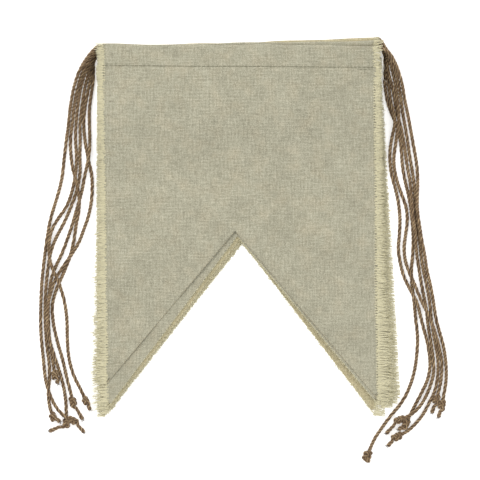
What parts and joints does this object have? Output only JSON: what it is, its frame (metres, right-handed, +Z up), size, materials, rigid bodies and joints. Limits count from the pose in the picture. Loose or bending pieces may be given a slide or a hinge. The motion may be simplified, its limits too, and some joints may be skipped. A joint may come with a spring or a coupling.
{
  "type": "swallowtail pennant stack",
  "caption": "Stack of plain linen swallowtail pennants, each threaded on its own knotted jute twine through a sewn header channel.",
  "frame": {"origin": "centre of the six cloths' footprint, on the surface the stack lies on", "axes": "+Z up out of the cloth, +X to the right along the headers, +Y towards the headers"},
  "size_m": [0.2774, 0.29, 0.0184],
  "materials": {
    "linen": "undyed plain-weave linen, matt, frayed edges",
    "jute_twine": "three-strand brown jute twine, hairy and matt",
    "sewing_thread": "matt sewing thread"
  },
  "bodies": {
    "pennant_6": {"panel_6": "linen", "header_seam_6": "sewing_thread", "twine_core_6": "jute_twine", "twine_core_5": "jute_twine", "twine_leg_left_1": "jute_twine", "twine_leg_right_1": "jute_twine", "twine_leg_left_2": "jute_twine", "twine_leg_right_2": "jute_twine", "twine_leg_left_3": "jute_twine", "twine_leg_right_3": "jute_twine", "twine_leg_left_4": "jute_twine", "twine_leg_right_4": "jute_twine", "twine_leg_left_5": "jute_twine", "twine_leg_right_5": "jute_twine", "twine_leg_left_6": "jute_twine", "twine_leg_right_6": "jute_twine", "knot_left_1": "jute_twine", "knot_right_1": "jute_twine", "knot_left_2": "jute_twine", "knot_right_2": "jute_twine", "knot_left_3": "jute_twine", "knot_right_3": "jute_twine", "knot_left_4": "jute_twine", "knot_right_4": "jute_twine", "knot_left_5": "jute_twine", "knot_right_5": "jute_twine", "knot_left_6": "jute_twine", "knot_right_6": "jute_twine"},
    "pennant_5": {"panel_5": "linen", "header_seam_5": "sewing_thread", "twine_core_4": "jute_twine"},
    "pennant_4": {"panel_4": "linen", "header_seam_4": "sewing_thread", "twine_core_3": "jute_twine"},
    "pennant_3": {"panel_3": "linen", "header_seam_3": "sewing_thread", "twine_core_2": "jute_twine"},
    "pennant_2": {"panel_2": "linen", "header_seam_2": "sewing_thread", "twine_core_1": "jute_twine"},
    "pennant_1": {"panel_1": "linen", "header_seam_1": "sewing_thread"}
  },
  "joints": [
    {"name": "pennant_5_turn", "type": "hinge", "parent": "pennant_6", "child": "pennant_5", "pos_m": [-0.005, 0.1241, 0.0046], "axis": [-0.9988, -0.0489, 0], "range_deg": [0, 15]},
    {"name": "pennant_4_turn", "type": "hinge", "parent": "pennant_5", "child": "pennant_4", "pos_m": [-0.005, 0.1241, 0.0077], "axis": [-0.9992, -0.0401, 0], "range_deg": [0, 15]},
    {"name": "pennant_3_turn", "type": "hinge", "parent": "pennant_4", "child": "pennant_3", "pos_m": [-0.005, 0.1241, 0.0108], "axis": [-0.9995, -0.0314, 0], "range_deg": [0, 20]},
    {"name": "pennant_2_turn", "type": "hinge", "parent": "pennant_3", "child": "pennant_2", "pos_m": [-0.005, 0.1241, 0.0139], "axis": [-0.9998, -0.0209, 0], "range_deg": [0, 40]},
    {"name": "pennant_1_turn", "type": "hinge", "parent": "pennant_2", "child": "pennant_1", "pos_m": [-0.005, 0.1228, 0.017], "axis": [-1, 0.0061, 0], "range_deg": [0, 90]}
  ]
}
